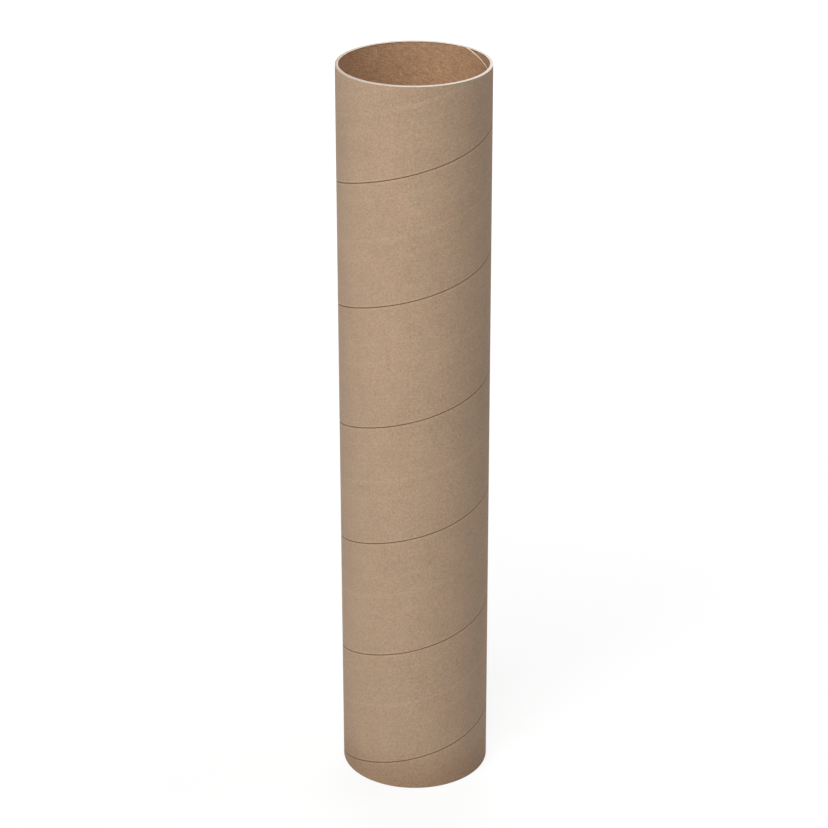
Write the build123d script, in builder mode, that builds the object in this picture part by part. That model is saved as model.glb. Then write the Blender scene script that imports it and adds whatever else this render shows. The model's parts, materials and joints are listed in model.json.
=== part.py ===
"""Concrete form tube: a spiral-wound paperboard mould for a round concrete column.

The wall is many paper plies, wound in a right-handed spiral and glued into one piece.
The edges of a ply butt against each other with a narrow gap. Two of these gaps show,
one on the outside and one in the bore. Both climb by the same pitch, and both run off
the two sawn ends. The tube stands on its lower end, with its axis on +Z.
"""

from build123d import *
import math
import os

# Driving dimensions, in millimetres
BORE_DIAMETER = 232.0
WALL_THICKNESS = 5.2
TUBE_LENGTH = 1219.2
SAWN_EDGE_BEVEL = 0.8

# The spiral winding: how far a seam climbs in one turn, and the gap between ply edges
SEAM_PITCH = 204.6
SEAM_GAP = 1.0
PLY_THICKNESS = 0.6

# Height at which each seam crosses the tube's +X side
OUTER_SEAM_HEIGHT = 108.8
INNER_SEAM_HEIGHT = 170.2

bore_radius = BORE_DIAMETER / 2
outer_radius = bore_radius + WALL_THICKNESS


def seam_turn(wall_radius):
    """One full turn of a seam's gap, one ply deep on either side of the wall's surface."""
    with BuildPart() as turn:
        with BuildLine() as path:
            Helix(SEAM_PITCH, SEAM_PITCH, wall_radius)
        across_path = Plane(origin=path.line @ 0, x_dir=(1, 0, 0), z_dir=path.line % 0)
        with BuildSketch(across_path):
            Rectangle(2 * PLY_THICKNESS, SEAM_GAP)
        sweep(path=path.line, is_frenet=True)
    return turn.part


def turn_places(seam_height):
    """Where the seam's turns start: from below the lower end until past the upper end."""
    turns_below = math.ceil((seam_height + SEAM_GAP) / SEAM_PITCH)
    turns_above = math.ceil((TUBE_LENGTH + SEAM_GAP - seam_height) / SEAM_PITCH)
    return [(0, 0, seam_height + turn * SEAM_PITCH) for turn in range(-turns_below, turns_above)]


outer_turn = seam_turn(outer_radius)
inner_turn = seam_turn(bore_radius)

with BuildPart() as form_tube:
    # The wall, with the edges of both sawn ends lightly broken
    with BuildSketch(Plane.XZ) as wall_section:
        with Locations((bore_radius, 0)):
            Rectangle(WALL_THICKNESS, TUBE_LENGTH, align=(Align.MIN, Align.MIN))
        chamfer(wall_section.vertices(), length=SAWN_EDGE_BEVEL)
    revolve(axis=Axis.Z)

    # The seam of the outermost ply
    with Locations(*turn_places(OUTER_SEAM_HEIGHT)):
        add(outer_turn, mode=Mode.SUBTRACT)

    # The seam of the innermost ply
    with Locations(*turn_places(INNER_SEAM_HEIGHT)):
        add(inner_turn, mode=Mode.SUBTRACT)

form_tube.part.label = "form_tube"

os.makedirs("parts", exist_ok=True)
export_step(form_tube.part, "parts/form_tube.step")
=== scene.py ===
# %% [markdown]
# # A concrete form tube in spiral-wound kraft board
#
# The object is one piece: a paperboard tube that stands on its end and moulds a round
# concrete column. Strips of kraft paper were glued round a mandrel in a spiral, and a
# saw cut the tube to length. This lesson models the wall, cuts the two seams that show,
# gives each surface its finish, and sets up the photograph's view and light.
#
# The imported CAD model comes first. It fixes the size and the place of everything, and
# its box is kept so that the finished model can be compared with it.

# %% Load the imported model
import json
import math

import bmesh
import bpy
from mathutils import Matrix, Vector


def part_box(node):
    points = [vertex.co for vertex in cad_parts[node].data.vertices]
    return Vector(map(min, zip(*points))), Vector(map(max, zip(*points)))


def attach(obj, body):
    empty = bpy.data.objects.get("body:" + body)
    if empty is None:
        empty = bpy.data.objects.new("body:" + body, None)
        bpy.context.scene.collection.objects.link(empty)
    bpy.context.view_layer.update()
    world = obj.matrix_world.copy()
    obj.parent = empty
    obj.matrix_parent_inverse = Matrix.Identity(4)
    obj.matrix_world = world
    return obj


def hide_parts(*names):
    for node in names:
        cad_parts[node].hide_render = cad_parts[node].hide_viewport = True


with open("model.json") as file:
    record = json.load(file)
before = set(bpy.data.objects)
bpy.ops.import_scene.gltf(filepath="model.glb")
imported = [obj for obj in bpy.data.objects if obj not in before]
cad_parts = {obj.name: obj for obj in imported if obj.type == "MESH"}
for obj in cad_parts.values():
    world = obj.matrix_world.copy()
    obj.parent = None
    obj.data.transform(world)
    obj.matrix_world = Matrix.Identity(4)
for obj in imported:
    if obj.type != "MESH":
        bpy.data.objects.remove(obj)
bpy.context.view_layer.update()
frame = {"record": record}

# %% [markdown]
# ## Sizes
#
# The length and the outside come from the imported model's box, and the bore from its
# mount. The winding isn't in the frame, so its sizes are repeated here. Both seams climb
# by one pitch in each turn, because all the strips are wound together.

# %% Sizes of the tube, in metres
MM = 0.001

tube_low, tube_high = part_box("form_tube")
mounts = {mount["name"]: mount for mount in frame["record"]["mounts"]}

TUBE_FOOT = tube_low[2]
TUBE_TOP = tube_high[2]
TUBE_LENGTH = TUBE_TOP - TUBE_FOOT
OUTER_RADIUS = min(tube_high[0], tube_high[1], -tube_low[0], -tube_low[1])
BORE_RADIUS = mounts["bore"]["dims"]["r_mm"] * MM
WALL = OUTER_RADIUS - BORE_RADIUS

SAWN_EDGE = 0.8 * MM
PLY = 0.6 * MM
SEAM_GAP = 1.0 * MM
SEAM_PITCH = 204.6 * MM

# Height at which each seam crosses the tube's +X side
OUTER_SEAM_HEIGHT = 108.8 * MM
INNER_SEAM_HEIGHT = 170.2 * MM

# Flat sides round the tube: few enough to stay light, and so many that none shows
SIDES = 240

print(f"tube {TUBE_LENGTH:.4f} long, radius {OUTER_RADIUS:.5f}, wall {WALL:.5f}")

# %% [markdown]
# ## The wall
#
# A pipe can be made by spinning the wall's section round the axis, or from a cylinder
# whose ends are inset and bridged. The cylinder is quicker by hand and gives the same
# clean quads: inset both end faces by the wall, then bridge the two inner faces, which
# deletes them and draws the bore between their edges.

# %% A cylinder becomes a pipe
# A face is one of the two ends if its normal points this far along the axis
END_FACING = 0.9


def choose(piece):
    """Make the piece the only selected one, and the active one."""
    bpy.ops.object.select_all(action="DESELECT")
    piece.select_set(True)
    bpy.context.view_layer.objects.active = piece


def edit(piece):
    """Open the piece in edit mode, with nothing picked."""
    choose(piece)
    bpy.ops.object.mode_set(mode="EDIT")
    bpy.ops.mesh.select_all(action="DESELECT")


def pick(kind, test):
    """In edit mode, select only the faces or edges that pass the test, and count them."""
    bpy.ops.mesh.select_mode(type=kind)
    bpy.ops.mesh.select_all(action="DESELECT")
    mesh = bmesh.from_edit_mesh(bpy.context.edit_object.data)
    parts = mesh.faces if kind == "FACE" else mesh.edges
    chosen = [part for part in parts if test(part)]
    for part in chosen:
        part.select_set(True)
    bmesh.update_edit_mesh(bpy.context.edit_object.data)
    return len(chosen)


bpy.ops.object.select_all(action="DESELECT")
bpy.ops.mesh.primitive_cylinder_add(
    vertices=SIDES,
    radius=OUTER_RADIUS,
    depth=TUBE_LENGTH,
    location=(0, 0, TUBE_FOOT + TUBE_LENGTH / 2),
)
tube = bpy.context.active_object
tube.name = "wound_tube"
bpy.ops.object.transform_apply(location=True, rotation=False, scale=False)

edit(tube)
pick("FACE", lambda face: abs(face.normal.z) > END_FACING)
bpy.ops.mesh.inset(thickness=WALL)
bpy.ops.mesh.bridge_edge_loops()
bpy.ops.object.mode_set(mode="OBJECT")
print("pipe faces:", len(tube.data.polygons))

# %% [markdown]
# ## The sawn ends
#
# A saw leaves the ends square, with edges a little worn. A Bevel modifier could round all
# sharp edges at once, but applied after the cuts it would take the seams too. So the four
# rim edges are picked and get a narrow rounded bevel now. A bisect just inside each bevel
# adds a holding loop, so that smooth shading doesn't drag the bevel's light down the long
# wall faces.

# %% Round the edges of the rims
HOLDING_GAP = 0.4 * MM
BEVEL_STEPS = 4
END_HEIGHTS = (TUBE_FOOT, TUBE_TOP)
NEAR = 0.01 * MM


def radius_of(point):
    """Distance of a point from the tube's axis."""
    return math.hypot(point.x, point.y)


def in_end(edge):
    """Whether an edge lies in the plane of one of the sawn ends."""
    start, stop = (vertex.co.z for vertex in edge.verts)
    return any(abs(start - end) < NEAR and abs(stop - end) < NEAR for end in END_HEIGHTS)


def runs_round(edge):
    """Whether both ends of an edge are equally far from the axis."""
    start, stop = (radius_of(vertex.co) for vertex in edge.verts)
    return abs(start - stop) < NEAR


edit(tube)
rim_edges = pick("EDGE", lambda edge: in_end(edge) and runs_round(edge))
bpy.ops.mesh.bevel(offset=SAWN_EDGE, segments=BEVEL_STEPS, profile=0.5, affect="EDGES")

for height in (TUBE_FOOT + SAWN_EDGE + HOLDING_GAP, TUBE_TOP - SAWN_EDGE - HOLDING_GAP):
    bpy.ops.mesh.select_all(action="SELECT")
    bpy.ops.mesh.bisect(plane_co=(0, 0, height), plane_no=(0, 0, 1))
bpy.ops.object.mode_set(mode="OBJECT")
print("rim edges bevelled:", rim_edges, "faces:", len(tube.data.polygons))

# %% [markdown]
# ## The plies in the rims
#
# On a sawn rim the plies show as fine rings. Bump alone could draw them, but the mesh is
# also used without its finish, so they are real: the flat rim is divided into rings, and
# every other ring of edges sinks a little. Those are the glue lines between the plies.

# %% Divide the rims into plies
GLUE_LINE_DEPTH = 0.07 * MM

flat_rim = WALL - 2 * SAWN_EDGE
rim_plies = round(flat_rim / PLY)
ply_width = flat_rim / rim_plies


def on_ring(edge, height, radius):
    """Whether an edge lies on the ring of that height and radius."""
    return all(
        abs(vertex.co.z - height) < NEAR and abs(radius_of(vertex.co) - radius) < NEAR
        for vertex in edge.verts
    )


edit(tube)
pick("EDGE", lambda edge: in_end(edge) and not runs_round(edge))
bpy.ops.mesh.subdivide(number_cuts=2 * rim_plies - 1)

glue_lines = 0
for line in range(rim_plies):
    glue_radius = BORE_RADIUS + SAWN_EDGE + (line + 0.5) * ply_width
    for height, inward in ((TUBE_FOOT, 1), (TUBE_TOP, -1)):
        pick("EDGE", lambda edge: on_ring(edge, height, glue_radius))
        bpy.ops.transform.translate(value=(0, 0, inward * GLUE_LINE_DEPTH))
        glue_lines += 1
bpy.ops.object.mode_set(mode="OBJECT")
print("glue lines on both rims:", glue_lines, "faces:", len(tube.data.polygons))

# %% [markdown]
# ## The shape of a seam
#
# Where a strip meets its own edge after one turn, a narrow gap stays open, one ply deep.
# The edges beside it aren't square: the winding pulls them in, so the surface dips softly
# towards the gap. The dip is what makes a seam read as two edges and not as a drawn line,
# because its lower side catches the light and its upper side loses it. The outline could
# be a curve, but as a mesh it goes straight into the next step. It is drawn as by hand,
# from a plane merged to one vertex that is extruded from point to point.

# %% Draw the outline of a seam
MOUTH_REACH = 0.5 * MM

# The rolled-in edge of a strip: distance from the gap, and depth under the surface
OUTER_EDGE = ((0, 0.28 * MM), (0.8 * MM, 0.15 * MM), (2.4 * MM, 0))
INNER_EDGE = ((0, 0.22 * MM), (0.8 * MM, 0))


def seam_side(rolled_edge, half_gap):
    """One side of a seam, from its floor to its mouth: distances from the middle, and depths."""
    side = [(half_gap, PLY)]
    side += [(half_gap + distance, depth) for distance, depth in rolled_edge]
    # The last slope goes on past the surface, so that the cut comes out of it cleanly
    (near, near_depth), (far, far_depth) = side[-2:]
    slope = (far - near) / (near_depth - far_depth)
    side.append((far + slope * MOUTH_REACH, -MOUTH_REACH))
    return side


def draw_section(name, points):
    """Draw a closed outline through (radius, height) points in the XZ plane."""
    bpy.ops.object.select_all(action="DESELECT")
    bpy.ops.mesh.primitive_plane_add(size=SEAM_GAP)
    outline = bpy.context.active_object
    outline.name = name
    bpy.ops.object.mode_set(mode="EDIT")
    bpy.ops.mesh.select_mode(type="VERT")
    bpy.ops.mesh.select_all(action="SELECT")
    bpy.ops.mesh.merge(type="CENTER")
    bpy.ops.mesh.select_all(action="SELECT")
    bpy.ops.transform.translate(value=(points[0][0], 0, points[0][1]))
    for (radius, height), (next_radius, next_height) in zip(points, points[1:]):
        step = (next_radius - radius, 0, next_height - height)
        bpy.ops.mesh.extrude_region_move(TRANSFORM_OT_translate={"value": step})
    bpy.ops.mesh.select_all(action="SELECT")
    bpy.ops.mesh.edge_face_add()
    bpy.ops.mesh.delete(type="ONLY_FACE")
    bpy.ops.object.mode_set(mode="OBJECT")
    return outline


print("points on one side of the outer seam:", len(seam_side(OUTER_EDGE, SEAM_GAP / 2)))

# %% [markdown]
# ## Winding the seams
#
# A seam is a spiral. A helix curve could carry the outline, but its tilt would have to be
# kept in hand. A Screw modifier is plainer: it winds the outline round the axis and lifts
# it by the pitch in each turn. The cutter is then turned by half a step along its own
# spiral, because a Boolean works best where no corner of one shape lies on an edge of the
# other.

# %% Wind a cutter for each seam
HALF_STEP = math.pi / SIDES

# The way that a seam opens: out of the wall, or into the bore
OUTWARD = 1
INWARD = -1


def wind_seam(name, surface_radius, opening, seam_height, rolled_edge):
    """Wind a seam's cutter from below the tube's foot until past its top."""
    rise = math.atan2(SEAM_PITCH, 2 * math.pi * surface_radius)
    side = seam_side(rolled_edge, SEAM_GAP / 2 / math.cos(rise))
    mouth = side[-1][0]
    start = seam_height - SEAM_PITCH * math.ceil((seam_height + mouth) / SEAM_PITCH)
    lower = [(surface_radius - opening * depth, start - distance) for distance, depth in side]
    upper = [(surface_radius - opening * depth, start + distance) for distance, depth in side]
    cutter = draw_section(name, lower + upper[::-1])
    winding = cutter.modifiers.new("winding", "SCREW")
    winding.axis = "Z"
    winding.angle = 2 * math.pi
    winding.screw_offset = SEAM_PITCH
    winding.iterations = math.ceil((TUBE_TOP + mouth - start) / SEAM_PITCH)
    winding.steps = SIDES
    winding.render_steps = SIDES
    bpy.ops.object.modifier_apply(modifier=winding.name)
    edit(cutter)
    bpy.ops.mesh.select_all(action="SELECT")
    bpy.ops.mesh.fill_holes(sides=2 * len(side))
    bpy.ops.mesh.normals_make_consistent(inside=False)
    bpy.ops.object.mode_set(mode="OBJECT")
    cutter.rotation_euler.z = HALF_STEP
    cutter.location.z = SEAM_PITCH * HALF_STEP / (2 * math.pi)
    return cutter


outer_cutter = wind_seam("outer_cutter", OUTER_RADIUS, OUTWARD, OUTER_SEAM_HEIGHT, OUTER_EDGE)
inner_cutter = wind_seam("inner_cutter", BORE_RADIUS, INWARD, INNER_SEAM_HEIGHT, INNER_EDGE)
for cutter in (outer_cutter, inner_cutter):
    print(cutter.name, "faces:", len(cutter.data.polygons))

# %% [markdown]
# ## Cutting the seams
#
# Boolean modifiers cut both seams along the wall and out of the rims. The exact solver is
# the slower one, and it leaves a closed mesh here. The cutters' finishes go into the cut
# with their faces: the gap has its own, the outer dip is still wall paper, and in the bore
# the dip is skived down to pale paper.

# %% Cut both seams
def coat_cutter(cutter, surface_radius, opening, rolled_edge, gap_finish, edge_finish):
    """Give the cutter one finish for the gap, and one for the dip above the gap's lips."""
    cutter.data.materials.append(gap_finish)
    cutter.data.materials.append(edge_finish)
    lip_depth = rolled_edge[0][1]
    for face in cutter.data.polygons:
        depth = opening * (surface_radius - radius_of(face.center))
        face.material_index = 1 if depth < lip_depth else 0


def cut_seam(piece, cutter):
    """Take the cutter's shape out of the piece, and put the cutter away."""
    cut = piece.modifiers.new("seam_cut", "BOOLEAN")
    cut.operation = "DIFFERENCE"
    cut.solver = "EXACT"
    cut.material_mode = "TRANSFER"
    cut.object = cutter
    choose(piece)
    bpy.ops.object.modifier_apply(modifier=cut.name)
    spent_mesh = cutter.data
    bpy.data.objects.remove(cutter)
    bpy.data.meshes.remove(spent_mesh)


wall_finish = bpy.data.materials.new("kraft_wall")
bore_finish = bpy.data.materials.new("kraft_bore")
rim_finish = bpy.data.materials.new("sawn_plies")
outer_gap_finish = bpy.data.materials.new("outer_seam_gap")
inner_gap_finish = bpy.data.materials.new("inner_seam_gap")

tube.data.materials.append(wall_finish)
coat_cutter(outer_cutter, OUTER_RADIUS, OUTWARD, OUTER_EDGE, outer_gap_finish, wall_finish)
coat_cutter(inner_cutter, BORE_RADIUS, INWARD, INNER_EDGE, inner_gap_finish, inner_gap_finish)
cut_seam(tube, outer_cutter)
cut_seam(tube, inner_cutter)
print("faces after both cuts:", len(tube.data.polygons))

# %% [markdown]
# ## Which face takes which finish
#
# The tube has five surfaces: the outer wall, the bore, the sawn rims and the two gaps. The
# cuts brought the gaps' materials with them. The others could be picked by hand, but they
# are easily told apart by place: near an end, or inside the middle of the wall.

# %% Sort the faces
tube.data.materials.append(bore_finish)
tube.data.materials.append(rim_finish)
slots = {material.name: index for index, material in enumerate(tube.data.materials)}
middle_of_wall = (OUTER_RADIUS + BORE_RADIUS) / 2

for face in tube.data.polygons:
    if face.material_index != slots["kraft_wall"]:
        continue
    from_end = min(face.center.z - TUBE_FOOT, TUBE_TOP - face.center.z)
    if from_end < SAWN_EDGE:
        face.material_index = slots["sawn_plies"]
    elif radius_of(face.center) < middle_of_wall:
        face.material_index = slots["kraft_bore"]

for name, index in slots.items():
    print(name, "faces:", sum(face.material_index == index for face in tube.data.polygons))

# %% [markdown]
# ## Smooth walls and crisp seams
#
# Edges sharper than an angle are marked, so that round surfaces shade smoothly and the
# lips of the gaps stay crisp. The dips beside the gaps are too shallow for that angle, so
# their outlines are found by tilt: the faces of the plain wall stand upright, and those of
# a dip lean. Unmarked, their light would spread over the whole wall.

# %% Mark the edges that stay sharp
SMOOTH_UNTIL = math.radians(30)
LEAST_TILT = 0.01


def near_end(vertex):
    """Whether a vertex belongs to a rim or to its rounded edges."""
    return min(vertex.co.z - TUBE_FOOT, TUBE_TOP - vertex.co.z) < SAWN_EDGE + NEAR


def tilted(face):
    """Whether a face leans up or down, as the sides of a seam do."""
    return abs(face.normal.z) > LEAST_TILT


def outlines_seam(edge):
    """Whether an edge parts a dip from the plain wall."""
    if all(near_end(vertex) for vertex in edge.verts):
        return False
    one, other = edge.link_faces
    return tilted(one) != tilted(other)


choose(tube)
bpy.ops.object.shade_smooth_by_angle(angle=SMOOTH_UNTIL)
edit(tube)
outline_edges = pick("EDGE", outlines_seam)
bpy.ops.mesh.mark_sharp()
bpy.ops.object.mode_set(mode="OBJECT")
print("edges that outline the seams:", outline_edges)

# %% [markdown]
# ## Writing shader nodes as sums
#
# A finish is easier to read as arithmetic than as a web of nodes. The class wraps one
# output of a node. Its operators add Math nodes, and its method node adds any other kind.

# %% A helper for shader arithmetic
class Field:
    """A value that varies over a surface: one output socket of a shader node."""

    def __init__(self, socket):
        self.socket = socket
        self.tree = socket.id_data

    def node(self, kind, settings, sockets, output=0):
        """Add a node: first its settings, then the value or the link of each socket."""
        made = self.tree.nodes.new(kind)
        for name, setting in settings.items():
            setattr(made, name, setting)
        for name, value in sockets.items():
            if isinstance(value, Field):
                self.tree.links.new(value.socket, made.inputs[name])
            else:
                made.inputs[name].default_value = value
        return Field(made.outputs[output])

    def math(self, operation, *values):
        """Add a Math node."""
        return self.node("ShaderNodeMath", {"operation": operation}, dict(enumerate(values)))

    def __add__(self, other):
        return self.math("ADD", self, other)

    def __sub__(self, other):
        return self.math("SUBTRACT", self, other)

    def __rsub__(self, other):
        return self.math("SUBTRACT", other, self)

    def __mul__(self, other):
        return self.math("MULTIPLY", self, other)

    def __truediv__(self, other):
        return self.math("DIVIDE", self, other)

    def __rtruediv__(self, other):
        return self.math("DIVIDE", other, self)

    __radd__ = __add__
    __rmul__ = __mul__

    def ramp(self, start, stop):
        """0 up to start, 1 from stop on, and a smooth rise between them."""
        return self.node(
            "ShaderNodeMapRange",
            {"interpolation_type": "SMOOTHSTEP"},
            {"Value": self, "From Min": start, "From Max": stop},
        )

    def mix(self, low, high):
        """One colour where this value is 0, the other where it is 1."""
        # A Mix node keeps its two colours in sockets 6 and 7, and gives the colour at 2
        return self.node("ShaderNodeMix", {"data_type": "RGBA"}, {0: self, 6: low, 7: high}, 2)

    def tint(self, colour):
        """A colour made lighter or darker by this value."""
        return self.node(
            "ShaderNodeVectorMath", {"operation": "SCALE"}, {0: colour, "Scale": self}
        )

    def drive(self, shader, name):
        """Link this value to an input of a shader."""
        self.tree.links.new(self.socket, shader.inputs[name])


def paint(red, green, blue):
    """A screen colour of 0 to 255 as the linear values that shaders work with."""
    shares = [level / 255 for level in (red, green, blue)]
    linear = [((share + 0.055) / 1.055) ** 2.4 for share in shares]
    return (*linear, 1.0)


print("mid grey as a shader sees it:", round(paint(128, 128, 128)[0], 3))

# %% [markdown]
# ## Unrolling the strip
#
# Fibres, streaks and scuffs follow the strip that was wound, not the tube's axis. So the
# pattern is drawn on the unrolled strip. A UV map could hold that place, but the cuts would
# have to keep it, so it is worked out from the Object coordinates. The turn round the axis
# and the height together say how many strip widths a point lies above the seam. The whole
# part of that number is the winding, and its fraction is the place across the strip.

# %% Where a point lies on the strip
PAPER_SHINE = 0.25


def open_finish(material):
    """Start a matte finish: its shader, and the place on the tube."""
    material.use_nodes = True
    shader = material.node_tree.nodes["Principled BSDF"]
    shader.inputs["Specular IOR Level"].default_value = PAPER_SHINE
    place = Field(shader.outputs["BSDF"]).node("ShaderNodeTexCoord", {}, {}, "Object")
    return shader, place


def split(place):
    """The x, y and z of a place."""
    axes = place.node("ShaderNodeSeparateXYZ", {}, {"Vector": place})
    return [Field(socket) for socket in axes.socket.node.outputs]


def join(x, y):
    """A flat place for textures to read."""
    return x.node("ShaderNodeCombineXYZ", {}, {"X": x, "Y": y})


def unroll(place, seam_height, radius):
    """How far a point lies along the strip, and across it from its lower edge, in metres."""
    x, y, z = split(place)
    turn = place.math("ARCTAN2", y, x) / (2 * math.pi)
    widths = (z - seam_height) / SEAM_PITCH - turn
    winding = place.math("FLOOR", widths)
    along = (turn + winding) * (2 * math.pi * radius)
    across = (widths - winding) * SEAM_PITCH
    return along, across


def drawn_out(along, across, stretch):
    """A place on the strip for patterns that are so many times as long as wide."""
    return join(along / stretch, across)


def grain(place, patch, detail=2.0, roughness=0.5):
    """A cloudy pattern from about -0.5 to 0.5, with patches of that size and finer ones."""
    return place.node(
        "ShaderNodeTexNoise",
        {},
        {"Vector": place, "Scale": 1 / patch, "Detail": detail, "Roughness": roughness},
    ) - 0.5


def emboss(shader, height, depth):
    """Raise and sink a surface's light by a height of -0.5 to 0.5, over that depth."""
    relief = height.node("ShaderNodeBump", {}, {"Distance": depth, "Height": height})
    relief.drive(shader, "Normal")


print("strip length in one turn:", round(math.hypot(2 * math.pi * OUTER_RADIUS, SEAM_PITCH), 4))

# %% [markdown]
# ## The outer wall: its paper
#
# Kraft paper is matte, with a fine mottle of short fibres, and it drifts between a warmer
# and a cooler brown. One noise of many sizes could stand for all of it. Several simple
# ones are easier to steer: fine spots, fibres that are drawn out along the strip, a hue and
# wide clouds. Loose fibres stand out of the paper, so a trace of sheen greys it where it
# turns away. The foot is painted browner and darker, as painted shade near the floor.

# %% Kraft paper on the outside
WARM_KRAFT = paint(194, 161, 132)
COOL_KRAFT = paint(187, 163, 139)
# The foot's browner colour is painted shade near the floor
FOOT_SHADE_BROWN = paint(172, 142, 116)
FOOT_SHADE_HEIGHT = 90 * MM
KRAFT_FUZZ = 0.08
PAPER_ROUGHNESS = 0.9
ROUGHNESS_SPREAD = 0.1

# How far each pattern lightens and darkens the wall
WALL_MOTTLE = 0.78
WALL_FIBRES = 0.20
WALL_CLOUDS = 0.26

shader, place = open_finish(wall_finish)
shader.inputs["Sheen Weight"].default_value = KRAFT_FUZZ
along, across = unroll(place, OUTER_SEAM_HEIGHT, OUTER_RADIUS)
height = split(place)[2]
mottle = grain(place, patch=2.4 * MM)
fibres = grain(drawn_out(along, across, stretch=5), patch=1.6 * MM)
clouds = grain(place, patch=160 * MM, detail=3, roughness=0.9)
hue = grain(place, patch=14 * MM, roughness=0.8) + 0.5
foot_shade = 1 - height.ramp(TUBE_FOOT, TUBE_FOOT + FOOT_SHADE_HEIGHT)

paper = 1 + mottle * WALL_MOTTLE + fibres * WALL_FIBRES + clouds * WALL_CLOUDS
kraft = foot_shade.mix(hue.mix(WARM_KRAFT, COOL_KRAFT), FOOT_SHADE_BROWN)
(PAPER_ROUGHNESS + mottle * ROUGHNESS_SPREAD).drive(shader, "Roughness")
emboss(shader, mottle + fibres * 0.5, depth=0.06 * MM)
print("nodes for the wall's paper:", len(wall_finish.node_tree.nodes))

# %% [markdown]
# ## The outer wall: marks of the winding
#
# The edges of plies further in press through as faint pale streaks along the strip, each
# sharp on one side. Along a seam a dark band is painted shade, and a few millimetres
# further out a pale band is a painted highlight on the rolled edges. Marks like these could
# be painted by hand, but all of them follow the strip, so each is a band of the place
# across it.

# %% Streaks, painted shade and painted highlights at the seams
STREAK_EDGE = 1.0 * MM
STREAK_PATCHINESS = 2.5

# Where a pressed-through edge fades in and where it stops, in strip widths, and how pale
PRESSED_EDGES = (
    (0.495, 0.546, 0.056),
    (0.430, 0.376, 0.030),
    (0.725, 0.688, 0.028),
    (0.840, 0.868, 0.034),
)

# Distances from the strip's edge over which a mark fades in or out, and its strength
# Painted shade: a dark band along each seam
SEAM_SHADE_FADES = (0.4 * MM, 1.8 * MM)
SEAM_SHADE = 0.24
# Painted highlight: pale bands a little way out from each seam
HIGHLIGHT_BEGINS = (1.5 * MM, 2.4 * MM)
HIGHLIGHT_FADES = (2.8 * MM, 4.5 * MM)
HIGHLIGHT_ABOVE_SEAM = 0.12
HIGHLIGHT_BELOW_SEAM = 0.07


def pressed_edge(across, faint, sharp):
    """A band that grows from its faint side and stops short at its sharp side."""
    past = sharp + math.copysign(STREAK_EDGE, sharp - faint)
    return across.ramp(faint, sharp) * (1 - across.ramp(sharp, past))


def highlight_band(from_edge):
    """A narrow band beside a strip's edge, where a highlight is painted."""
    return from_edge.ramp(*HIGHLIGHT_BEGINS) * (1 - from_edge.ramp(*HIGHLIGHT_FADES))


patches = grain(drawn_out(along, across, stretch=4), patch=30 * MM)
streaks = sum(
    pressed_edge(across, faint * SEAM_PITCH, sharp * SEAM_PITCH) * paleness
    for faint, sharp, paleness in PRESSED_EDGES
)
to_next_seam = SEAM_PITCH - across
dark_line = 1 - place.math("MINIMUM", across, to_next_seam).ramp(*SEAM_SHADE_FADES)
seam_highlight = highlight_band(across) * HIGHLIGHT_ABOVE_SEAM + highlight_band(to_next_seam) * HIGHLIGHT_BELOW_SEAM

tone = paper + streaks * (1 + patches * STREAK_PATCHINESS)
tone = tone * (1 - dark_line * SEAM_SHADE) * (1 + seam_highlight)
tone.tint(kraft).drive(shader, "Base Color")
print("nodes in the wall's finish:", len(wall_finish.node_tree.nodes))

# %% [markdown]
# ## The bore
#
# The innermost ply is a rougher, browner paper. Long pale hairs lie in it, roughly along
# the strip. Single hairs could be modelled, but they are flat, so they are the peaks of a
# noise that is stretched along the strip and bent by a slow drift. Painted shade darkens the
# paper beside the seam, most of all above it, and the ply's last millimetres under the rim
# are darker in patches. The light inside is warmer, because it has been from wall to wall.

# %% Brown paper in the bore
BORE_PAPER = paint(190, 153, 120)

# How far each pattern lightens and darkens the bore
BORE_MOTTLE = 0.92
BORE_FIBRES = 0.80
BORE_CLOUDS = 0.25
BORE_HAIRS = 0.55

# Levels of a noise between which its peaks become hairs, or its patches dark ones under the rim
HAIR_LEVELS = (0.14, 0.30)
DARK_TOP_LEVELS = (0.35, 0.65)
HAIR_DRIFT = 14 * MM

# Distances from the seam or from the rim over which a mark fades, and its strength
# Painted shade beside the inner seam, most of all above it
BORE_SHADE_ABOVE_FADES = (2.0 * MM, 3.6 * MM)
BORE_SHADE_ABOVE = 0.40
BORE_SHADE_BELOW_FADES = (1.4 * MM, 3.2 * MM)
BORE_SHADE_BELOW = 0.15
# The ply's last millimetres under the rim are darker in patches
DARK_TOP_BEGINS = 3.2 * MM
DARK_TOP_FULL = 1.2 * MM
DARK_TOP = 0.55

shader, place = open_finish(bore_finish)
along, across = unroll(place, INNER_SEAM_HEIGHT, BORE_RADIUS)
height = split(place)[2]
mottle = grain(place, patch=3.2 * MM, detail=3)
fibres = grain(drawn_out(along, across, stretch=6), patch=2.2 * MM)
clouds = grain(place, patch=25 * MM, detail=3)
drift = grain(place, patch=28 * MM) * HAIR_DRIFT
hairs = grain(drawn_out(along, across + drift, stretch=14), patch=1.5 * MM, detail=1)
hairs = hairs.ramp(*HAIR_LEVELS)
patches = (grain(place, patch=12 * MM) + 0.5).ramp(*DARK_TOP_LEVELS)
dark_top = patches * height.ramp(TUBE_TOP - DARK_TOP_BEGINS, TUBE_TOP - DARK_TOP_FULL)
shade_above_seam = 1 - across.ramp(*BORE_SHADE_ABOVE_FADES)
shade_below_seam = 1 - (SEAM_PITCH - across).ramp(*BORE_SHADE_BELOW_FADES)

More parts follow.
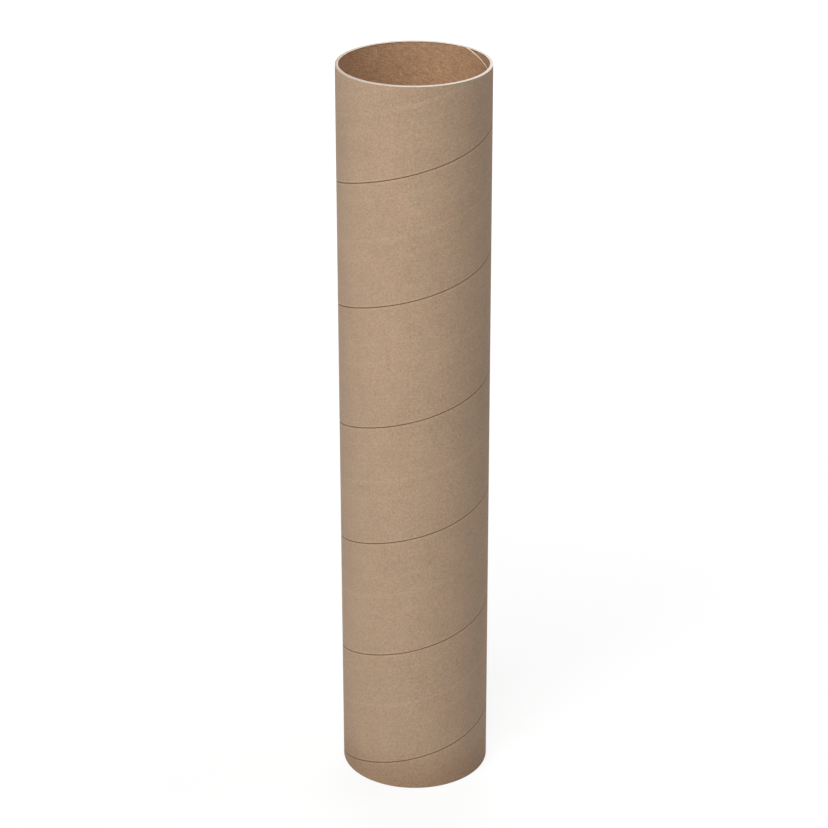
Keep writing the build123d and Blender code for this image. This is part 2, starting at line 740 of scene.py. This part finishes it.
tone = 1 + mottle * BORE_MOTTLE + fibres * BORE_FIBRES + clouds * BORE_CLOUDS + hairs * BORE_HAIRS
tone = tone * (1 - shade_above_seam * BORE_SHADE_ABOVE - shade_below_seam * BORE_SHADE_BELOW) * (1 - dark_top * DARK_TOP)
tone.tint(BORE_PAPER[:3]).drive(shader, "Base Color")
(PAPER_ROUGHNESS + mottle * ROUGHNESS_SPREAD).drive(shader, "Roughness")
emboss(shader, mottle + fibres, depth=0.10 * MM)
print("nodes in the bore's finish:", len(bore_finish.node_tree.nodes))

# %% [markdown]
# ## The sawn plies
#
# The saw lays the plies open. The inner ones are bleached, almost white paper, and the
# outer ones are beige, with a line of glue between each two and a fuzz of torn fibres. The
# bleached and torn shares are painted wider on the rim's right side, as painted light on the
# edge that turns away from the lamps. The outermost edge is torn pale, with a painted
# highlight that draws the thin bright line along the near rim. Each ply could have its own
# material, but one finish that reads the depth in the wall lets them run together.

# %% Paper edges on the rims
CREAM = paint(240, 232, 221)
BEIGE = paint(206, 184, 168)
# The torn edge is pale fibres brightened by a painted highlight
TORN_HIGHLIGHT = paint(248, 240, 229)
TORN_ROUGHNESS = 0.95

# Shares of the wall from the bore outwards: where cream turns beige, and where the torn edge with its
# painted highlight begins
CREAM_TO_BEIGE = (0.2, 0.95)
TORN_HIGHLIGHT_EDGE = (0.80, 0.90)

# How far these places shift towards the rim's right side as painted light, and how far they wander
RIGHT_SIDE_LIGHT = 0.28
WANDER = 0.15

# Half of a glue line, from dark to clear, as shares of a ply
GLUE_LINE = (0.05, 0.25)
RIM_GLUE = 0.10
RIM_FUZZ = 0.18

shader, place = open_finish(rim_finish)
x, y = split(place)[:2]
from_axis = place.node("ShaderNodeVectorMath", {"operation": "LENGTH"}, {0: join(x, y)}, "Value")
depth = (from_axis - BORE_RADIUS) / WALL
fuzz = grain(place, patch=0.8 * MM, detail=3)
wander = grain(place, patch=15 * MM)
plies_in = (from_axis - BORE_RADIUS - SAWN_EDGE) / ply_width
from_glue = place.math("ABSOLUTE", plies_in - place.math("FLOOR", plies_in) - 0.5)
dark_line = 1 - from_glue.ramp(*GLUE_LINE)

# Painted light: the rim is paler towards its right side, where its outer edge turns from the lamps
right_side_light = x * (RIGHT_SIDE_LIGHT / OUTER_RADIUS)
bleached_and_lit = 1 - (depth + wander * WANDER - right_side_light).ramp(*CREAM_TO_BEIGE)
torn_highlight = (depth + right_side_light * 0.5).ramp(*TORN_HIGHLIGHT_EDGE)
tone = 1 + fuzz * RIM_FUZZ - dark_line * RIM_GLUE
tone.tint(torn_highlight.mix(bleached_and_lit.mix(BEIGE, CREAM), TORN_HIGHLIGHT)).drive(shader, "Base Color")
(TORN_ROUGHNESS - fuzz * ROUGHNESS_SPREAD).drive(shader, "Roughness")
emboss(shader, fuzz, depth=0.08 * MM)
print("nodes in the rims' finish:", len(rim_finish.node_tree.nodes))

# %% [markdown]
# ## Inside the gaps
#
# The outer gap is painted dark brown: glue, deepened by painted shade. The inner one shows
# the pale paper of the next ply, so it is a light line. Both are too narrow for more than a
# little fuzz, so one loop makes both finishes.

# %% The floors and sides of the gaps
# The outer gap's dark brown is glue deepened by painted shade
OUTER_GAP_GLUE_AND_SHADE = paint(112, 80, 56)
INNER_GAP = paint(252, 236, 214)
GAP_FUZZ = 0.3

for material, colour in ((outer_gap_finish, OUTER_GAP_GLUE_AND_SHADE), (inner_gap_finish, INNER_GAP)):
    shader, place = open_finish(material)
    fuzz = grain(place, patch=1.2 * MM, detail=3)
    (1 + fuzz * GAP_FUZZ).tint(colour[:3]).drive(shader, "Base Color")
    (TORN_ROUGHNESS - fuzz * ROUGHNESS_SPREAD).drive(shader, "Roughness")
    emboss(shader, fuzz, depth=0.05 * MM)

print("finishes:", [material.name for material in tube.data.materials])

# %% [markdown]
# ## The tube takes the CAD solid's place
#
# The finished tube stands for the CAD solid, which stays for the simulation and is hidden
# here. Nothing on it moves, so it rides on the frame's one body.

# %% Hand the tube over to the frame
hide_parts("form_tube")
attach(tube, "root")
print("form_tube is now shown as", tube.name)

# %% [markdown]
# ## The floor
#
# The tube stands on a plain pale floor that runs out of the picture on all sides. To the
# camera it is mostly a white glow, so that it prints as white paper does. A share of it
# stays real, which keeps the tube's soft shadow. Far from the tube less light falls on the
# floor, so there the share is smaller, and the floor stays white all over. Mirrored and
# refracted rays see the same white, and all other light meets a grey floor.

# %% A white floor with a soft shadow
FLOOR_WIDTH = 40
FLOOR_GREY = 0.6
GLOW = 1.35

# The real share near the tube and far from it, and over which distances it changes
NEAR_REAL_SHARE = 0.40
FAR_REAL_SHARE = 0.27
SHARE_CHANGES = (0.5, 5.0)


def seen_rays(start):
    """1 for rays that show a surface to the camera, also by way of a mirror or a glass."""
    camera_ray = start.node("ShaderNodeLightPath", {}, {}, "Is Camera Ray")
    rays = camera_ray.socket.node.outputs
    mirrored = start.math("MAXIMUM", Field(rays["Is Glossy Ray"]), Field(rays["Is Transmission Ray"]))
    return start.math("MAXIMUM", camera_ray, mirrored)


bpy.ops.object.select_all(action="DESELECT")
bpy.ops.mesh.primitive_plane_add(size=FLOOR_WIDTH, location=(0, 0, TUBE_FOOT))
floor = bpy.context.active_object
floor.name = "floor"
floor_finish = bpy.data.materials.new("pale_floor")
floor.data.materials.append(floor_finish)

floor_finish.use_nodes = True
shader = floor_finish.node_tree.nodes["Principled BSDF"]
shader.inputs["Base Color"].default_value = (FLOOR_GREY, FLOOR_GREY, FLOOR_GREY, 1)
shader.inputs["Roughness"].default_value = 1.0
shader.inputs["Specular IOR Level"].default_value = 0.0
surface = Field(shader.outputs["BSDF"])
glow = surface.node("ShaderNodeEmission", {}, {"Strength": GLOW})
place = surface.node("ShaderNodeTexCoord", {}, {}, "Object")
from_tube = place.node("ShaderNodeVectorMath", {"operation": "LENGTH"}, {0: place}, "Value")
share_change = from_tube.ramp(*SHARE_CHANGES) * (NEAR_REAL_SHARE - FAR_REAL_SHARE)
glow_share = 1 - NEAR_REAL_SHARE + share_change
shown = seen_rays(surface) * glow_share
both = surface.node("ShaderNodeMixShader", {}, {0: shown, 1: surface, 2: glow})
both.drive(floor_finish.node_tree.nodes["Material Output"], "Surface")
print("floor made,", FLOOR_WIDTH, "m wide")

# %% [markdown]
# ## The light
#
# A very large soft box stands far off to the front left, so that the wall is brightest a
# little left of the middle and hardly changes from top to foot. A low one on the left
# fills the lower half and hardly lights the rim. Weak ones stand at the front right and
# beside the dark right edge, and two behind the tube light its back. Together they leave
# the pale rim just under white. The world adds an even fill, and shows white behind the
# floor's far edge.

# %% Soft boxes round the tube
# Each box: turn from the front in degrees, distance from the axis, height and width in
# metres, power in watts
SOFT_BOXES = {
    "key": (-24, 6.3, 6.8, 6.5, 574),
    "low_left": (-42, 5.6, 1.5, 3.0, 41),
    "front_right": (25, 3.5, 4.8, 3.0, 13),
    "right_edge": (105, 3.2, 3.4, 2.0, 38),
    "top_back": (180, 2.2, 3.6, 2.0, 45),
    "low_back": (180, 4.5, 1.0, 1.8, 36),
}
FILL = 0.02

middle = (tube_low + tube_high) / 2
for name, (turn, distance, height, width, power) in SOFT_BOXES.items():
    lamp = bpy.data.lights.new(name, "AREA")
    lamp.shape = "SQUARE"
    lamp.size = width
    lamp.energy = power
    box = bpy.data.objects.new(name, lamp)
    bpy.context.scene.collection.objects.link(box)
    angle = math.radians(turn)
    box.location = (distance * math.sin(angle), -distance * math.cos(angle), height)
    box.rotation_euler = (middle - box.location).to_track_quat("-Z", "Y").to_euler()

world = bpy.data.worlds.new("studio")
bpy.context.scene.world = world
world.use_nodes = True
sky = world.node_tree.nodes["Background"]
sky.inputs["Color"].default_value = (1, 1, 1, 1)
sky.inputs["Strength"].default_value = FILL
fill = Field(sky.outputs["Background"])
white = fill.node("ShaderNodeBackground", {}, {"Color": (1, 1, 1, 1), "Strength": 1})
both = fill.node("ShaderNodeMixShader", {}, {0: seen_rays(fill), 1: fill, 2: white})
both.drive(world.node_tree.nodes["World Output"], "Surface")
print("lamps:", sorted(SOFT_BOXES))

# %% [markdown]
# ## The photograph's view
#
# The camera looks down at the tube from the front with a long lens. Its place, lens and
# slight roll come from fitting the two end ellipses and the two sides of the outline.

# %% The camera
# Place in metres, angles in degrees, lens and sensor in millimetres
CAMERA_PLACE = (-0.0008, -3.99, 2.4287)
LOOK_DOWN = 24.253
ROLL = -0.085
LENS = 117.77
SENSOR = 36

lens = bpy.data.cameras.new("photo_camera")
lens.sensor_width = SENSOR
lens.lens = LENS
camera = bpy.data.objects.new("photo_camera", lens)
bpy.context.scene.collection.objects.link(camera)
camera.location = CAMERA_PLACE
camera.rotation_mode = "ZXY"
camera.rotation_euler = (math.radians(90 - LOOK_DOWN), 0, math.radians(ROLL))
bpy.context.scene.camera = camera
bpy.context.scene.view_settings.view_transform = "Standard"
print("camera at", CAMERA_PLACE)
